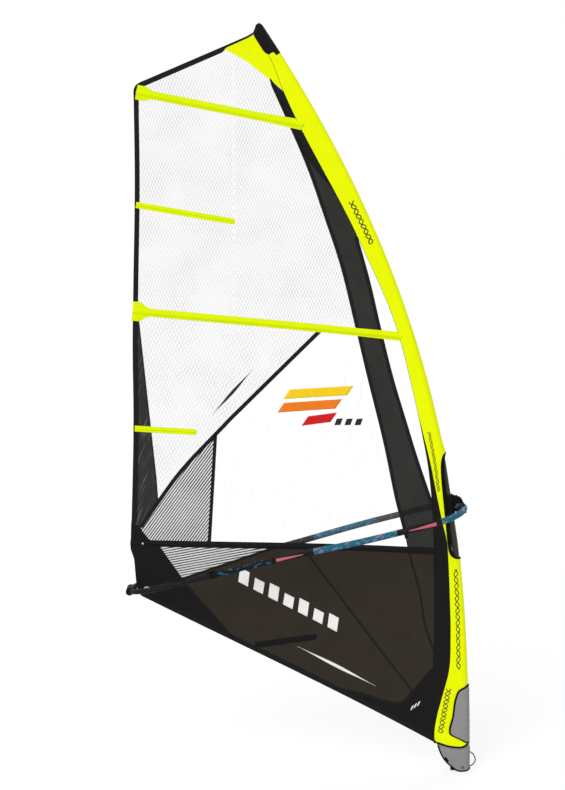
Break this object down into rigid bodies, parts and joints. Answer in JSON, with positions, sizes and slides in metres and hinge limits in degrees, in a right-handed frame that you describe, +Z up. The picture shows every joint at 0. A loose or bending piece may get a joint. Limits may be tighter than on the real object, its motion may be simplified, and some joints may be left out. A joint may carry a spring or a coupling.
{
  "type": "windsurf sail",
  "caption": "Rigged windsurf wave sail with batten pockets, luff sleeve over a two-piece mast, mast extension and adjustable wishbone boom.",
  "frame": {"origin": "middle of the mast foot's flat underside", "axes": "+Z up the mast foot toward the head, +X forward to the luff, the leech at -X, -Y the near side"},
  "size_m": [1.8411, 0.4526, 3.8827],
  "materials": {
    "neon_cloth": "satin woven polyester",
    "black_cloth": "matte laminate",
    "clear_film": "clear film with a fine scrim",
    "smoke_film": "dark translucent scrim film",
    "foot_cloth": "semi-gloss dark laminate",
    "grey_foam": "matte padded fabric",
    "carbon": "satin composite",
    "anodised_tube": "black anodised",
    "moulded_black": "moulded",
    "steel": "stainless",
    "rope": "braided",
    "fibreglass": "pultruded rod",
    "boom_tube": "black anodised",
    "boom_grip": "printed foam grip"
  },
  "bodies": {
    "sail_and_mast": {"mast_bottom_section": "carbon", "mast_top_section": "carbon", "extension_tube": "anodised_tube", "extension_collar": "moulded_black", "extension_base": "moulded_black", "tack_block": "steel", "tack_webbing": "black_cloth", "downhaul_line": "rope", "luff_sleeve": "neon_cloth", "head_cap": "black_cloth", "tack_pad": "grey_foam", "head_patch": "neon_cloth", "top_panel": "clear_film", "upper_panel": "clear_film", "mid_panel": "clear_film", "window_panel": "clear_film", "luff_window": "clear_film", "luff_panel": "smoke_film", "leech_panel": "smoke_film", "mesh_panel_upper": "smoke_film", "mesh_panel_lower": "smoke_film", "foot_panel_aft": "foot_cloth", "foot_panel_mid": "foot_cloth", "foot_panel_fore": "foot_cloth", "clew_patch": "black_cloth", "tack_patch": "black_cloth", "edge_tape": "black_cloth", "foot_tape": "black_cloth", "diagonal_seam_tape": "black_cloth", "vertical_seam_tape": "black_cloth", "batten_head": "fibreglass", "batten_head_pocket": "neon_cloth", "batten_mid": "fibreglass", "batten_mid_pocket": "neon_cloth", "batten_low": "fibreglass", "batten_low_pocket": "black_cloth", "mini_batten_high": "neon_cloth", "mini_batten_low": "neon_cloth", "foot_batten": "black_cloth", "clew_eyelet": "steel"},
    "base_pulley_far": {"base_sheave_far": "moulded_black"},
    "base_pulley_near": {"base_sheave_near": "moulded_black"},
    "tack_pulley": {"tack_sheave": "moulded_black"},
    "flap": {"tack_flap": "grey_foam", "flap_pull_loop": "rope"},
    "head_tensioner": {"batten_head_screw": "steel"},
    "mid_tensioner": {"batten_mid_screw": "steel"},
    "low_tensioner": {"batten_low_screw": "steel"},
    "clamp": {"mast_clamp": "moulded_black"},
    "clamp_handle": {"clamp_lever": "moulded_black"},
    "boom": {"boom_body": "boom_tube", "boom_grip": "boom_grip", "boom_head": "moulded_black"},
    "clip_handle_far": {"clip_lever_far": "moulded_black"},
    "clip_handle_near": {"clip_lever_near": "moulded_black"},
    "tail": {"boom_tail": "boom_tube", "tail_end": "moulded_black", "outhaul_line": "rope"},
    "outhaul_pulley_far": {"outhaul_sheave_far": "moulded_black"},
    "outhaul_pulley_near": {"outhaul_sheave_near": "moulded_black"}
  },
  "joints": [
    {"name": "base_pulley_far_spin", "type": "hinge", "parent": "sail_and_mast", "child": "base_pulley_far", "pos_m": [-0.046, 0.006, 0.032], "axis": [0, 1, 0], "continuous": true},
    {"name": "base_pulley_near_spin", "type": "hinge", "parent": "sail_and_mast", "child": "base_pulley_near", "pos_m": [-0.046, -0.006, 0.032], "axis": [0, 1, 0], "continuous": true},
    {"name": "tack_pulley_spin", "type": "hinge", "parent": "sail_and_mast", "child": "tack_pulley", "pos_m": [-0.046, 0, 0.121], "axis": [0, 1, 0], "continuous": true},
    {"name": "flap_lift", "type": "hinge", "parent": "sail_and_mast", "child": "flap", "pos_m": [0.0294, 0, 0.1493], "axis": [0, -1, 0], "range_deg": [0, 45]},
    {"name": "head_tensioner_turn", "type": "hinge", "parent": "sail_and_mast", "child": "head_tensioner", "pos_m": [-1.68248, 0.03352, 3.54657], "axis": [0.9799, -0.0546, -0.1918], "continuous": true},
    {"name": "mid_tensioner_turn", "type": "hinge", "parent": "sail_and_mast", "child": "mid_tensioner", "pos_m": [-1.71223, 0.00777, 2.44232], "axis": [0.9955, -0.0006, -0.0943], "continuous": true},
    {"name": "low_tensioner_turn", "type": "hinge", "parent": "sail_and_mast", "child": "low_tensioner", "pos_m": [-1.73616, -0.0036, 1.23249], "axis": [0.9995, 0.0119, -0.0285], "continuous": true},
    {"name": "boom_height", "type": "slide", "parent": "sail_and_mast", "child": "clamp", "axis": [-0.1582, 0, 0.9874], "range_m": [-0.085, 0.085], "deforming": ["outhaul_line"]},
    {"name": "clamp_lever_open", "type": "hinge", "parent": "clamp", "child": "clamp_handle", "pos_m": [-0.07007, 0, 1.48426], "axis": [0, -1, 0], "range_deg": [0, 110]},
    {"name": "boom_tilt", "type": "hinge", "parent": "clamp", "child": "boom", "pos_m": [-0.04901, 0, 1.41296], "axis": [0, -1, 0], "range_deg": [-3, 3]},
    {"name": "clip_lever_far_open", "type": "hinge", "parent": "boom", "child": "clip_handle_far", "pos_m": [-1.30761, 0.135, 1.11594], "axis": [0, 1, 0], "range_deg": [0, 80]},
    {"name": "clip_lever_near_open", "type": "hinge", "parent": "boom", "child": "clip_handle_near", "pos_m": [-1.30761, -0.135, 1.11594], "axis": [0, 1, 0], "range_deg": [0, 80]},
    {"name": "boom_length", "type": "slide", "parent": "boom", "child": "tail", "axis": [-0.9694, 0, -0.2453], "range_m": [-0.01, 0.16], "deforming": ["outhaul_line"]},
    {"name": "outhaul_pulley_far_spin", "type": "hinge", "parent": "tail", "child": "outhaul_pulley_far", "pos_m": [-1.72227, 0.03, 0.98956], "axis": [-0.2453, 0, 0.9694], "continuous": true},
    {"name": "outhaul_pulley_near_spin", "type": "hinge", "parent": "tail", "child": "outhaul_pulley_near", "pos_m": [-1.72227, -0.03, 0.98956], "axis": [-0.2453, 0, 0.9694], "continuous": true}
  ],
  "couplings": [
    {"joint": "boom_tilt", "follows": "boom_height", "rad_per_m": 0.5787}
  ]
}
